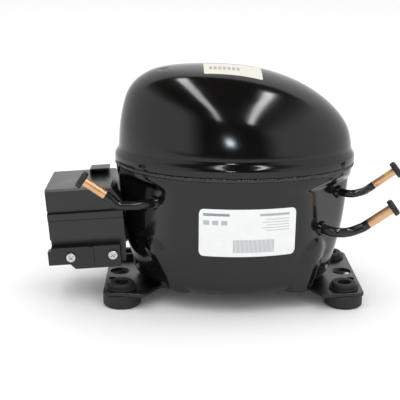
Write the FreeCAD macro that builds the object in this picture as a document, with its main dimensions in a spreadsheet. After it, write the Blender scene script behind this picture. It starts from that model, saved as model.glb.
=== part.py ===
import FreeCAD, Part
import math
import os
import re
import Sketcher
from FreeCAD import Placement, Rotation, Vector

# Hermetic reciprocating compressor for a refrigerator, in millimetres.
# Origin: centre of the 170 x 70 mounting pattern, on the floor under the grommets.
# +Z is up, the terminal box is on the -X end, the suction and discharge tubes on the +X end.

SIZES = {
    # feet and grommets
    "mount_x": 170, "mount_y": 70, "plate_z": 10.04, "plate_t": 3.0,
    "plate_x": 99, "plate_y": 46.5, "plate_corner": 4, "plate_ease": 0.7,
    "shoulder_x": 67.5, "shoulder_y": 50, "neck_x": 56.5, "neck_y": 31, "tip_x": 38, "tip_y": 24,
    "rail_hole_x": 88.8, "rail_hole_r": 7.8,
    "earth_hole_x": 93.6, "earth_hole_y": 16.2, "earth_hole_r": 2.9,
    "grommet_r": 14.46, "grommet_top_r": 11.2, "grommet_ring_r": 9.4, "grommet_neck_r": 8.6,
    "grommet_bore_r": 5.04, "grommet_h": 17.74, "grommet_step": 1.6, "grommet_ease": 1.2,
    # pressed steel shell
    "wall": 3.0, "seam_z": 109, "shell_left": 88.5, "shell_right": 91, "shell_depth": 62,
    "dome_h": 70, "peak_x": -22, "bowl_round": 10,
    "lip": 2.5, "lip_h": 3.2, "lip_blend": 4.2, "skirt": 2.6, "skirt_gap": 0.4,
    "bead_h": 3.2, "bead_ease": 0.3, "flare": 1.6, "flare_h": 13, "fit": 0.1,
    "lobe_mid_x": 4.7, "lobe_x": 42.3, "lobe_y": 37, "lobe_low_r": 12.5,
    "crown_x": 48.7, "crown_y": 28, "crown_z": 44, "crown_r": 20,
    "flat_out": 72, "flat_turn": 42, "flat_low": 34, "flat_high": 101,
    # tubes
    "suction_r": 3.65, "discharge_r": 2.95, "process_r": 3.5, "tube_wall": 0.8, "copper_lead": 5,
    "collar_over": 2.3, "collar_t": 2.4, "cap_r": 6.5, "cap_t": 4.2, "cap_plug": 8, "cap_gap": 0.08,
    # hermetic terminal and electrical parts
    "terminal_z": 64, "terminal_r": 14, "terminal_in": 80.5, "terminal_out": 88.5,
    "pin_ring": 5.2, "pin_r": 1.15, "pin_in": 74, "pin_out": 100, "glass_r": 2.4,
    "box_x": -111.5, "box_y": -2, "box_z": 59.6, "box_tilt": 4, "box_half": 28.5, "box_front": 28,
    "box_top": 30.5, "box_wall": 2, "box_gap": 1, "recess": 5, "slope_x": 7.5, "slope_z": 12,
    "box_ease": 1.5, "groove_z": 14.5, "groove_d": 1.6, "groove_h": 2, "ledge_top": 11.5, "ledge_low": 6.5, "ledge_d": 1,
    "panel_low": -9, "panel_d": 0.4,
    "latch_left": -2, "latch_w": 15, "latch_front": 20, "latch_d": 13, "latch_h": 4.6, "latch_rim": 1.4,
    "clamp_t": 7, "clamp_top": -15, "clamp_low": -32.5, "clamp_right": 24, "ear": 2.5, "ear_h": 11,
    "clamp_step": 14,
    "rib_x": 0.5, "rib_w": 3.4, "rib_h": 13, "rib_t": 1.2,
    "screw_r": 3.5, "screw_head": 2.2, "screw_shank_r": 1.9, "screw_len": 14,
    "screw_left_x": -13.5, "screw_right_x": 18.5, "screw_z": -22.5,
    "relay_in": 90, "relay_t": 14, "relay_w": 36, "relay_h": 24, "overload_r": 9, "overload_t": 12,
    # motor
    "shaft_x": 5.5, "stator_half": 40, "stator_cut": 8, "stator_z": 34.5, "stator_h": 42,
    "stator_bore_r": 26, "winding_r": 37.5, "winding_wall": 9, "winding_h": 12, "winding_ease": 2.5,
    "rotor_r": 25.6, "rotor_z": 35, "rotor_h": 41, "ring_h": 4, "ring_wall": 8,
    "shaft_r": 8, "shaft_low": 33, "pickup_r": 5, "pickup_low": 20.5,
    "bolt_at": 32, "bolt_r": 2.5, "bolt_head_r": 4.5, "bolt_head_h": 3, "bolt_gap": 0.15,
    # pump
    "bore_z": 118, "bore_r": 11, "barrel_r": 18, "barrel_near": 23, "barrel_far": 65.2,
    "hub_r": 15, "hub_low": 82, "bed_z": 96, "bed_t": 8, "bed_half": 39, "leg_r": 6,
    "running_gap": 0.03, "flange_t": 6,
    "crank_r": 8, "rod_len": 45, "rod_t": 8, "rod_w": 8, "crank_pin_r": 6.5, "big_end_wall": 3.5,
    "pivot_gap": 1.45, "web_z": 107.5, "web_t": 6, "web_r": 17, "weight_r": 21,
    "rod_reach": 45.084, "rod_lean": 11.253,
    "wrist_r": 4, "wrist_half": 9.5, "small_end_r": 6.8, "piston_skirt": 10, "piston_crown": 11,
    "piston_inner_r": 8, "piston_hollow": 7.4,
    "gasket_t": 0.5, "reed_t": 0.3, "reed_w": 7, "reed_len": 17, "valve_t": 3, "port_r": 2.4,
    "head_t": 9, "head_half": 18, "head_wall": 3, "head_bolt_at": 14.5, "head_bolt_r": 2,
    "head_bolt_cap_r": 3.4, "head_bolt_cap": 2,
    "muffler_left": 70, "muffler_right": 26, "muffler_half": 20, "muffler_h": 15, "muffler_ease": 4,
    "loop_r": 2.4,
    # suspension
    "spring_r": 6.2, "spring_wire": 0.9, "spring_turns": 4, "seat_r": 7.5, "seat_t": 2.4, "post_r": 4.9,
    "post_h": 6, "cap_t_spring": 3.4, "cap_post": 3.6,
}

# The shell's sections: share of the height, then how far the wall stands in on each side.
BOWL = [(0.781, 0.5, 1.7, 0.5), (0.489, 3, 4.5, 1.3), (0.25, 7.5, 9, 2.6), (0.0, 13, 15, 4)]
DOME = [(0.171, 0.7, 0.6, 0.2), (0.357, 1.7, 4.5, 2.5), (0.543, 4, 14.5, 6.5), (0.70, 7.5, 28, 12),
        (0.814, 13, 42, 19), (0.90, 21, 57.5, 27.5), (0.957, 31, 73, 37), (0.99, 48, 93, 50)]

doc = FreeCAD.newDocument("Compressor")
sheet = doc.addObject("Spreadsheet::Sheet", "Sizes")
for row, (alias, number) in enumerate(SIZES.items(), start=1):
    sheet.set(f"A{row}", alias)
    sheet.set(f"B{row}", str(number))
    sheet.setAlias(f"B{row}", alias)
doc.recompute()

nodes = []


def size(alias):
    return float(getattr(sheet, alias))


def cells(text):
    def refer(word):
        return "Sizes." + word.group() if word.group() in SIZES else word.group()
    return re.sub(r"[A-Za-z_][A-Za-z_0-9]*", refer, str(text))


def bind(thing, values):
    for path, text in values.items():
        thing.setExpression(path, cells(text))


def place(thing, at, turn=None):
    # turn is (axis, degrees); the angle may be a sheet expression
    if turn:
        thing.Placement = Placement(Vector(), Rotation(Vector(*turn[0]), 1))
        bind(thing, {"Placement.Rotation.Angle": turn[1]})
    bind(thing, {"Placement.Base." + axis: text for axis, text in zip("xyz", at)})
    return thing


def keep(thing, label):
    thing.Label = label
    nodes.append(thing)
    return thing


def primitive(kind, name, values, at=(0, 0, 0), turn=None):
    thing = doc.addObject("Part::" + kind, name)
    bind(thing, values)
    return place(thing, at, turn)


def cylinder(name, radius, height, at=(0, 0, 0), turn=None):
    return primitive("Cylinder", name, {"Radius": radius, "Height": height}, at, turn)


def box(name, length, width, height, at=(0, 0, 0), turn=None):
    return primitive("Box", name, {"Length": length, "Width": width, "Height": height}, at, turn)


def cut(name, base, tool):
    thing = doc.addObject("Part::Cut", name)
    thing.Base, thing.Tool = base, tool
    return thing


def fuse(name, parts):
    thing = doc.addObject("Part::MultiFuse", name)
    thing.Shapes = parts
    return thing


def loft(name, sections, ruled=False):
    thing = doc.addObject("Part::Loft", name)
    thing.Sections, thing.Solid, thing.Ruled = sections, True, ruled
    return thing


def gather(label, parts):
    # identical fasteners and springs share one node
    for thing in parts:
        if thing in nodes:
            nodes.remove(thing)
    thing = doc.addObject("Part::Compound", label)
    thing.Links = parts
    return keep(thing, label)


# ---- sketched bodies ----

def new_body(label):
    return keep(doc.addObject("PartDesign::Body", label), label)


def sketch_on(body, role, lift=0):
    sketch = body.newObject("Sketcher::SketchObject", body.Name + "Sketch")
    plane = next(item for item in body.Origin.OriginFeatures if item.Role == role)
    sketch.AttachmentSupport = [(plane, "")]
    sketch.MapMode = "FlatFace"
    bind(sketch, {"AttachmentOffset.Base.z": lift})
    return sketch


def pin_point(sketch, geometry, end, x, y):
    for kind, text in (("DistanceX", x), ("DistanceY", y)):
        index = sketch.addConstraint(Sketcher.Constraint(kind, -1, 1, geometry, end, 1.0))
        sketch.setExpression(f"Constraints[{index}]", cells(text))


def outline(sketch, points):
    first, count = sketch.GeometryCount, len(points)
    corners = [Vector(10 * math.cos(math.tau * i / count), 10 * math.sin(math.tau * i / count))
               for i in range(count)]
    for i in range(count):
        sketch.addGeometry(Part.LineSegment(corners[i], corners[(i + 1) % count]))
    for i, (x, y) in enumerate(points):
        sketch.addConstraint(
            Sketcher.Constraint("Coincident", first + i - 1 if i else first + count - 1, 2, first + i, 1))
        pin_point(sketch, first + i, 1, x, y)


def circle(sketch, x, y, radius):
    index = sketch.addGeometry(Part.Circle(Vector(1, 1, 0), Vector(0, 0, 1), 5))
    pin_point(sketch, index, 3, x, y)
    ring = sketch.addConstraint(Sketcher.Constraint("Radius", index, 5))
    sketch.setExpression(f"Constraints[{ring}]", cells(radius))


def feature(body, kind, sketch, values):
    thing = body.newObject("PartDesign::" + kind, body.Name + kind)
    thing.Profile = sketch
    bind(thing, values)
    return thing


def turned(label, points, at=(0, 0, 0), turn=None):
    body = new_body(label)
    sketch = sketch_on(body, "XZ_Plane")
    outline(sketch, points)
    spin = feature(body, "Revolution", sketch, {})
    spin.ReferenceAxis = (sketch, ["V_Axis"])
    spin.Angle = 360
    place(body, at, turn)
    return body


def padded(label, points, height, circles=(), at=(0, 0, 0), turn=None, role="XY_Plane", lift=0):
    body = new_body(label)
    sketch = sketch_on(body, role, lift)
    if points:
        outline(sketch, points)
    for ring in circles:
        circle(sketch, *ring)
    feature(body, "Pad", sketch, {"Length": height})
    place(body, at, turn)
    return body


def pocket(body, role, height, points=(), circles=(), lift=0, back=False):
    sketch = sketch_on(body, role, lift)
    if points:
        outline(sketch, points)
    for ring in circles:
        circle(sketch, *ring)
    hole = feature(body, "Pocket", sketch, {"Length": height})
    hole.Reversed = back
    return hole


def whole_circle(edge):
    return isinstance(edge.Curve, Part.Circle) and edge.isClosed()


def rounded(body, name, chosen, radius):
    before = body.Tip
    names = [f"Edge{i}" for i, edge in enumerate(before.Shape.Edges, start=1) if chosen(edge)]
    fillet = body.newObject("PartDesign::Fillet", body.Name + name)
    fillet.Base = (before, names)
    bind(fillet, {"Radius": radius})
    return fillet


# ---- pressed steel shell ----

def oval(name, z, left, right, depth):
    ring = doc.addObject("Part::Ellipse", name)
    bind(ring, {"MajorRadius": f"(({right}) + ({left})) / 2", "MinorRadius": depth})
    return place(ring, (f"(({right}) - ({left})) / 2", 0, z))


def wall_oval(name, z, out):
    return oval(name, z, f"shell_left + {out}", f"shell_right + {out}", f"shell_depth + {out}")


def bowl_loft(name, inset):
    # inset 0 is the outer skin, 1 the inner one, a wall's thickness inside
    floor = "(plate_z + plate_t)"
    rings = [wall_oval(name + "Top", f"seam_z + {6 * inset}", f"({-inset} * wall)")]
    for i, (share, left, right, depth) in enumerate(BOWL):
        z = f"{floor} + (seam_z - {floor}) * {share} + wall * {inset * (1 - share)}"
        rings.append(oval(f"{name}{i}", z, f"shell_left - {left} - wall * {inset}",
                          f"shell_right - {right} - wall * {inset}",
                          f"shell_depth - {depth} - wall * {inset}"))
    walls = loft(name + "Walls", rings)
    doc.recompute([walls])
    bottom = min(range(len(walls.Shape.Edges)), key=lambda i: walls.Shape.Edges[i].BoundBox.ZMax)
    rounded = doc.addObject("Part::Fillet", name)
    radius = size("bowl_round") - size("wall") * inset
    rounded.Base = walls
    rounded.Edges = [(bottom + 1, radius, radius)]
    return rounded


def dome_loft(name, inset):
    rings = [wall_oval(name + "Rim", f"seam_z - {inset}", f"({-inset} * wall)")]
    for i, (share, left, right, depth) in enumerate(DOME):
        z = f"seam_z + dome_h * {share} - wall * {inset * share ** 3}"
        rings.append(oval(f"{name}{i}", z, f"shell_left - {left} - wall * {inset}",
                          f"shell_right - {right} - wall * {inset}",
                          f"shell_depth - {depth} - wall * {inset}"))
    tip = doc.addObject("Part::Vertex", name + "Tip")
    place(tip, ("peak_x", 0, f"seam_z + dome_h - wall * {inset}"))
    return loft(name, rings + [tip])


def flats(name, inset):
    # pressed flats that carry the tubes, left and right of the front
    blocks = []
    for side, turn in ((-1, "180 + flat_turn"), (1, "-flat_turn")):
        angle = f"({turn})"
        reach = f"(flat_out - wall * {inset})"
        block = box(f"{name}{'Left' if side < 0 else 'Right'}", 30, 90,
                    f"flat_high - flat_low + wall * {2 * inset}")
        block.Placement = Placement(Vector(), Rotation(Vector(0, 0, 1), 1))
        middle = "(shell_right - shell_left) / 2"
        bind(block, {"Placement.Rotation.Angle": angle,
                     "Placement.Base.x": f"{middle} + {reach} * cos({angle} * 1 deg) + 45 * sin({angle} * 1 deg)",
                     "Placement.Base.y": f"{reach} * sin({angle} * 1 deg) - 45 * cos({angle} * 1 deg)",
                     "Placement.Base.z": f"flat_low - wall * {inset}"})
        blocks.append(block)
    return fuse(name, blocks)


def lobes():
    # the four bulges that the springs stand in: each leans out from the floor to a round crown
    shapes = []
    for i, (sx, sy) in enumerate(((-1, -1), (1, -1), (1, 1), (-1, 1))):
        low = primitive("Circle", f"LobeLow{i}", {"Radius": "lobe_low_r"},
                        (f"lobe_mid_x + lobe_x * {sx}", f"lobe_y * {sy}", "plate_z + plate_t"))
        crown_at = (f"(shell_right - shell_left) / 2 + crown_x * {sx}", f"crown_y * {sy}", "crown_z")
        high = primitive("Circle", f"LobeHigh{i}", {"Radius": "crown_r"}, crown_at)
        shapes.append(loft(f"LobeWall{i}", [low, high], ruled=True))
        shapes.append(primitive("Sphere", f"LobeCrown{i}", {"Radius": "crown_r", "Angle1": 0}, crown_at))
    return shapes


# the rim opens out a little just under the weld
bead_low = "(seam_z - skirt - bead_h)"
flare_ring = loft("Flare", [wall_oval("Flare0", f"{bead_low} - flare_h", "-0.5"),
                            wall_oval("Flare1", f"{bead_low} - flare_h * 0.5", "flare * 0.55"),
                            wall_oval("Flare2", f"{bead_low} - flare_h * 0.2", "flare"),
                            wall_oval("Flare3", bead_low, "flare")], ruled=True)
bowl_skin = fuse("BowlSkin", [cut("BowlFlat", fuse("BowlRound", [bowl_loft("BowlOuter", 0), flare_ring]),
                                  flats("FlatsOuter", 0))] + lobes())
bowl_room = cut("BowlRoom", bowl_loft("BowlInner", 1), flats("FlatsInner", 1))
bowl = cut("Bowl", bowl_skin, bowl_room)

lip_low = "seam_z - skirt"
lip_ring = loft("Lip", [wall_oval("Lip0", lip_low, "lip"), wall_oval("Lip1", "seam_z + lip_h", "lip"),
                        wall_oval("Lip2", "seam_z + lip_h + lip_blend", "0")], ruled=True)
skirt_room = loft("SkirtRoom", [wall_oval("Skirt0", "seam_z - skirt - 1", "skirt_gap"),
                                wall_oval("Skirt1", "seam_z", "skirt_gap")], ruled=True)
dome = cut("Dome", fuse("DomeSkin", [dome_loft("DomeOuter", 0), lip_ring]),
           fuse("DomeRoom", [dome_loft("DomeInner", 1), skirt_room]))
keep(dome, "upper_shell")

bead_outer = loft("BeadOuter", [wall_oval("Bead0", "seam_z - skirt", "(lip - bead_ease)"),
                                wall_oval("Bead1", "seam_z - skirt - bead_h * 0.4", "(lip - bead_ease * 1.5)"),
                                wall_oval("Bead2", bead_low, "flare")], ruled=True)
bead_room = loft("BeadRoom", [wall_oval("BeadIn0", f"{bead_low} - 1", "fit"),
                              wall_oval("BeadIn1", "seam_z - skirt + 1", "fit")], ruled=True)
keep(cut("Bead", bead_outer, bead_room), "weld_bead")

# ---- tubes: steel stub through the wall, copper end, rubber cap ----

TUBES = {
    # route of each tube: the stub has the first four points, and its copper end runs on to the fifth
    "suction": [(61.2, -32, 61.5), (74, -43.5, 60), (86, -39, 58.6), (100.5, -38, 65.2), (116.7, -38, 76.6)],
    "discharge": [(74.8, -16.4, 85.2), (88.5, -28.6, 85.4), (98.5, -24, 86.6), (106.4, -20, 90.4),
                  (121.2, -20, 101.2)],
    "process": [(-55.9, -35.3, 82), (-69.5, -47.6, 81.6), (-86.5, -50, 82.6), (-95.1, -50, 90.6),
                (-109.9, -50, 100.8)],
}


def tube_wire(points, share=0.42):
    # straight runs joined by tangent arcs
    edges, start = [], points[0]
    for before, corner, after in zip(points, points[1:], points[2:]):
        into = (corner - before)
        out = (after - corner)
        angle = into.getAngle(out)
        reach = share * min(into.Length, out.Length)
        into.normalize()
        out.normalize()
        a, b = corner - into * reach, corner + out * reach
        bow = (out - into)
        bow.normalize()
        radius = reach / math.tan(angle / 2)
        middle = corner + bow * (radius / math.cos(angle / 2) - radius)
        edges.append(Part.LineSegment(start, a).toShape())
        edges.append(Part.Arc(a, middle, b).toShape())
        start = b
    edges.append(Part.LineSegment(start, points[-1]).toShape())
    return Part.Wire(edges)


def pipe(wire, radius):
    start = wire.Edges[0].valueAt(wire.Edges[0].FirstParameter)
    heading = wire.Edges[0].tangentAt(wire.Edges[0].FirstParameter)
    ring = Part.Wire(Part.Circle(start, heading, radius).toShape())
    return wire.makePipeShell([ring], True, False)


def hollow_pipe(wire, radius, bore):
    return pipe(wire, radius).cut(pipe(wire, bore))


holes = []
for name, route in TUBES.items():
    points = [Vector(*p) for p in route]
    radius = size(name + "_r")
    bore = radius - size("tube_wall")
    end = points[4] - points[3]
    end.normalize()
    wire = tube_wire(points[:3] + [points[3] - end * size("copper_lead"), points[3]])
    stub = doc.addObject("Part::Feature", name + "_stub")
    stub.Shape = hollow_pipe(wire, radius, bore)
    keep(stub, name + "_stub")
    copper = doc.addObject("Part::Feature", name + "_copper")
    copper.Shape = Part.makeCylinder(radius, (points[4] - points[3]).Length, points[3], end).cut(
        Part.makeCylinder(bore, (points[4] - points[3]).Length, points[3], end))
    keep(copper, name + "_copper")
    seat = points[4] + end * size("cap_gap")
    cap = turned(name + "_cap",
                 [(0, "-cap_plug"), (f"{name}_r - tube_wall - cap_gap - 0.5", "-cap_plug"),
                  (f"{name}_r - tube_wall - cap_gap", "-cap_plug + 1"), (f"{name}_r - tube_wall - cap_gap", 0),
                  ("cap_r - 0.6", 0), ("cap_r", 0.6), ("cap_r", "cap_t - 1"), ("cap_r - 1", "cap_t"),
                  (0, "cap_t")], tuple(seat))
    cap.Placement = Placement(seat, Rotation(Vector(0, 0, 1), end))
    out = points[1] - points[0]
    out.normalize()
    # the hole in the wall and the collar on the flat, square to it
    flat_angle = math.radians(size("flat_turn"))
    side = 1 if name != "process" else -1
    normal = Vector(side * math.cos(flat_angle), -math.sin(flat_angle), 0)
    centre = Vector((size("shell_right") - size("shell_left")) / 2, 0, 0)
    along = (size("flat_out") - (points[0] - centre).dot(normal)) / out.dot(normal)
    foot = points[0] + out * along
    hole = doc.addObject("Part::Feature", name + "Hole")
    hole.Shape = Part.makeCylinder(radius + 0.05, 24, foot - out * 12, out)
    holes.append(hole)
    collar = doc.addObject("Part::Feature", name + "_collar")
    rim = Part.makeCone(radius + size("collar_over"), radius + size("collar_over") * 0.5,
                        size("collar_t"), foot + normal * 0.02, normal)
    collar.Shape = rim.cut(Part.makeCylinder(radius + 0.05, 24, foot - out * 12, out))
    keep(collar, name + "_collar")

# ---- hermetic terminal ----
facing_left = ((0, 1, 0), -90)
terminal_hole = cylinder("TerminalHole", "terminal_r + 0.05", 30, ("-60", 0, "terminal_z"), facing_left)
keep(cut("LowerShell", bowl, fuse("ShellHoles", holes + [terminal_hole])), "lower_shell")

pin_spots = [(f"pin_ring * {math.sin(math.tau * i / 3):.4f}", f"pin_ring * {math.cos(math.tau * i / 3):.4f}")
             for i in range(3)]
terminal = turned("terminal_body", [(0, "terminal_in"), ("terminal_r", "terminal_in"),
                                    ("terminal_r", "terminal_out"), ("terminal_r - 2", "terminal_out"),
                                    ("terminal_r - 2.6", "terminal_out - 3"), (0, "terminal_out - 3")],
                  (0, 0, "terminal_z"), facing_left)
pocket(terminal, "XY_Plane", 60, circles=[(x, y, "glass_r") for x, y in pin_spots], lift="terminal_in - 5",
       back=True)
beads, pins = [], []
for i, (x, y) in enumerate(pin_spots):
    at = ("0", y, f"terminal_z + {x}")
    beads.append(padded(f"Bead{i}", [], "terminal_out - 3 - terminal_in",
                        [(0, 0, "glass_r - 0.02"), (0, 0, "pin_r + 0.01")], at, facing_left,
                        lift="terminal_in"))
    pins.append(padded(f"Pin{i}", [], "pin_out - pin_in", [(0, 0, "pin_r")], at, facing_left, lift="pin_in"))
gather("terminal_glass", beads)
gather("terminal_pins", pins)

# ---- feet and rubber grommets ----
half_rim = [("plate_x", "plate_y"), ("shoulder_x", "shoulder_y"), ("neck_x", "neck_y"), ("tip_x", "tip_y")]
for label, side in (("base_plate_left", -1), ("base_plate_right", 1)):
    rim = ([(f"{side} * {x}", f"-{y}") for x, y in half_rim]
           + [(f"{side} * {x}", y) for x, y in reversed(half_rim)])
    plate = padded(label, rim, "plate_t",
                   [(f"{side} * mount_x / 2", f"{end} * mount_y / 2", "grommet_neck_r + 0.3")
                    for end in (-1, 1)]
                   + [(f"{side} * rail_hole_x", 0, "rail_hole_r"),
                      (f"{side} * earth_hole_x", "-earth_hole_y", "earth_hole_r")], lift="plate_z")
    doc.recompute()
    corners = [Vector(side * size(x), end * size(y), 0) for x, y in half_rim for end in (-1, 1)]

    def at_corner(edge):
        middle = edge.CenterOfMass
        return any(Vector(middle.x, middle.y, 0).distanceToPoint(spot) < 0.01 for spot in corners)

    rounded(plate, "Corners", at_corner, "plate_corner")
    doc.recompute()
    rounded(plate, "Rim", lambda edge: edge.BoundBox.ZLength < 0.01 and not whole_circle(edge), "plate_ease")

for i, (sx, sy) in enumerate(((-1, -1), (1, -1), (1, 1), (-1, 1))):
    turned(f"grommet_{i + 1}",
           [("grommet_bore_r", 0), ("grommet_r - grommet_ease", 0), ("grommet_r", "grommet_ease"),
            ("grommet_r", "plate_z - 0.8"), ("grommet_r - 0.8", "plate_z"), ("grommet_neck_r", "plate_z"),
            ("grommet_neck_r", "plate_z + plate_t"), ("grommet_top_r", "plate_z + plate_t"),
            ("grommet_top_r", "plate_z + plate_t + grommet_step"),
            ("grommet_ring_r", "plate_z + plate_t + grommet_step"),
            ("grommet_ring_r", "grommet_h - 0.8"), ("grommet_ring_r - 0.8", "grommet_h"),
            ("grommet_bore_r + 0.6", "grommet_h"), ("grommet_bore_r", "grommet_h - 0.6")],
           (f"{sx} * mount_x / 2", f"{sy} * mount_y / 2", 0))

# ---- terminal box, cable clamp and screws ----
box_at, box_turn = ("box_x", "box_y", "box_z"), ((0, -1, 0), "box_tilt")
side_view = [("box_front", "box_top"), ("-box_front + box_ease", "box_top"),
             ("-box_front", "box_top - box_ease"), ("-box_front", "groove_z"),
             ("-box_front + groove_d", "groove_z"), ("-box_front + groove_d", "groove_z - groove_h"),
             ("-box_front - ledge_d", "ledge_top"), ("-box_front - ledge_d", "ledge_low"),
             ("-box_front + panel_d", "ledge_low - 1"), ("-box_front + panel_d", "panel_low"),
             ("-box_front + recess", "panel_low - box_ease"), ("-box_front + recess", "-box_top"),
             ("box_front", "-box_top")]
cover = padded("terminal_box_blank", side_view, "box_half * 2", at=box_at, turn=box_turn, role="YZ_Plane",
               lift="-box_half")
# the latch that hooks over the back, and the sloped end beside the shell
latch = sketch_on(cover, "XY_Plane", "box_top - box_wall / 2")
outline(latch, [("latch_left", "latch_front"), ("latch_left + latch_w", "latch_front"),
                ("latch_left + latch_w", "latch_front + latch_d"), ("latch_left", "latch_front + latch_d")])
feature(cover, "Pad", latch, {"Length": "latch_h + box_wall / 2"})
pocket(cover, "XZ_Plane", "latch_d - latch_rim + 1",
       [("latch_left + latch_rim", "box_top"), ("latch_left + latch_w - latch_rim", "box_top"),
        ("latch_left + latch_w - latch_rim", "box_top + latch_h - latch_rim"),
        ("latch_left + latch_rim", "box_top + latch_h - latch_rim")], lift="1 - latch_front")
pocket(cover, "XZ_Plane", "box_front * 2 + 4",
       [("box_half - slope_x", "box_top"), ("box_half", "box_top - slope_z"),
        ("box_half + 1", "box_top - slope_z"), ("box_half + 1", "box_top + 1"),
        ("box_half - slope_x", "box_top + 1")], lift="box_front + 2")
for start, length, ceiling in (("-box_half + box_wall", "box_half * 2 - slope_x - box_wall * 2", "box_top"),
                               ("-box_half + box_wall", "box_half * 2", "box_top - slope_z")):
    pocket(cover, "YZ_Plane", length,
           [("box_front - box_wall", f"{ceiling} - box_wall"),
            ("-box_front + groove_d + box_wall", f"{ceiling} - box_wall"),
            ("-box_front + groove_d + box_wall", "panel_low + 1"),
            ("-box_front + recess + box_wall", "panel_low + 1"),
            ("-box_front + recess + box_wall", "-box_top + box_wall"),
            ("box_front - box_wall", "-box_top + box_wall")], lift=start, back=True)

screw_spots = [("screw_left_x", "screw_z"), ("screw_right_x", "screw_z")]
pocket(cover, "XZ_Plane", 20, circles=[(x, z, "screw_shank_r + bolt_gap") for x, z in screw_spots],
       lift="box_front - recess + 1")
nodes.remove(cover)
shell_room = loft("BoxShellRoom", [wall_oval("BoxShell0", "plate_z", "box_gap"),
                                   wall_oval("BoxShell1", "seam_z", "box_gap")], ruled=True)
keep(cut("TerminalBox", cover, shell_room), "terminal_box")

clamp = padded("cable_clamp",
               [("-box_half", "clamp_top"), ("-box_half", "clamp_top - ear"),
                ("-box_half - ear", "clamp_top - ear"), ("-box_half - ear", "clamp_top - ear - ear_h"),
                ("-box_half + clamp_step", "clamp_top - ear - ear_h"),
                ("-box_half + clamp_step + 3.5", "clamp_low"), ("clamp_right", "clamp_low"),
                ("clamp_right", "clamp_top")],
               "clamp_t", [(x, z, "screw_shank_r + bolt_gap") for x, z in screw_spots],
               box_at, box_turn, "XZ_Plane", "box_front - recess + fit")
rib = sketch_on(clamp, "XZ_Plane", "box_front - recess + fit + clamp_t")
outline(rib, [("rib_x", "clamp_top"), ("rib_x + rib_w", "clamp_top"), ("rib_x + rib_w", "clamp_top - rib_h"),
              ("rib_x", "clamp_top - rib_h")])
feature(clamp, "Pad", rib, {"Length": "rib_t"})
front = "box_front - recess + fit + clamp_t"
screws = []
for i, (x, z) in enumerate(screw_spots):
    screw = padded(f"Screw{i}", [], "screw_head", [(x, z, "screw_r")], box_at, box_turn,
                   "XZ_Plane", front)
    shank = sketch_on(screw, "XZ_Plane", f"{front} - screw_len")
    circle(shank, x, z, "screw_shank_r")
    feature(screw, "Pad", shank, {"Length": "screw_len"})
    screws.append(screw)
gather("clamp_screws", screws)

padded("start_relay", [("-relay_w / 2", "terminal_z - relay_h / 2"), ("relay_w / 2", "terminal_z - relay_h / 2"),
                       ("relay_w / 2", "terminal_z + relay_h / 2"), ("-relay_w / 2", "terminal_z + relay_h / 2")],
       "relay_t", [(y, f"terminal_z + {x}", "pin_r + 0.1") for x, y in pin_spots], role="YZ_Plane",
       lift="-relay_in - relay_t")
turned("overload_protector", [(0, "relay_in"), ("overload_r", "relay_in"),
                              ("overload_r", "relay_in + overload_t - 2"),
                              ("overload_r - 2", "relay_in + overload_t"), (0, "relay_in + overload_t")],
       (0, 0, "terminal_z - relay_h / 2 - overload_r"), facing_left)

# ---- motor ----
axis_at = ("shaft_x", 0, 0)
bolt_spots = [(f"{sx} * bolt_at", f"{sy} * bolt_at") for sx, sy in ((-1, -1), (1, -1), (1, 1), (-1, 1))]


def octagon(half, corner):
    near = f"{half} - {corner}"
    return [(half, f"-({near})"), (half, near), (near, half), (f"-({near})", half), (f"-({half})", near),
            (f"-({half})", f"-({near})"), (f"-({near})", f"-({half})"), (near, f"-({half})")]


padded("stator_core", octagon("stator_half", "stator_cut"), "stator_h",
       [(0, 0, "stator_bore_r")] + [(x, y, "bolt_r + bolt_gap") for x, y in bolt_spots], axis_at,
       lift="stator_z")
for label, low in (("winding_bottom", "stator_z - winding_h"), ("winding_top", "stator_z + stator_h")):
    inner = "winding_r - winding_wall"
    turned(label, [(f"{inner} + winding_ease", low), ("winding_r - winding_ease", low),
                   ("winding_r", f"{low} + winding_ease"), ("winding_r", f"{low} + winding_h - winding_ease"),
                   ("winding_r - winding_ease", f"{low} + winding_h"),
                   (f"{inner} + winding_ease", f"{low} + winding_h"),
                   (inner, f"{low} + winding_h - winding_ease"), (inner, f"{low} + winding_ease")], axis_at)
turned("rotor_core", [("shaft_r + 0.02", "rotor_z"), ("rotor_r", "rotor_z"),
                      ("rotor_r", "rotor_z + rotor_h"), ("shaft_r + 0.02", "rotor_z + rotor_h")], axis_at)
for label, low in (("rotor_ring_bottom", "rotor_z - ring_h"), ("rotor_ring_top", "rotor_z + rotor_h")):
    turned(label, [("rotor_r - ring_wall", low), ("rotor_r - 1", low), ("rotor_r - 1", f"{low} + ring_h"),
                   ("rotor_r - ring_wall", f"{low} + ring_h")], axis_at)
stator_bolts = []
for i, (x, y) in enumerate(bolt_spots):
    stator_bolts.append(turned(f"StatorBolt{i}", [(0, "stator_z - bolt_head_h"), ("bolt_head_r", "stator_z - bolt_head_h"),
                                    ("bolt_head_r", "stator_z"), ("bolt_r", "stator_z"),
                                    ("bolt_r", "bed_z + bed_t"), (0, "bed_z + bed_t")],
                               (f"shaft_x + {x}", y, 0)))
gather("stator_bolts", stator_bolts)

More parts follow.
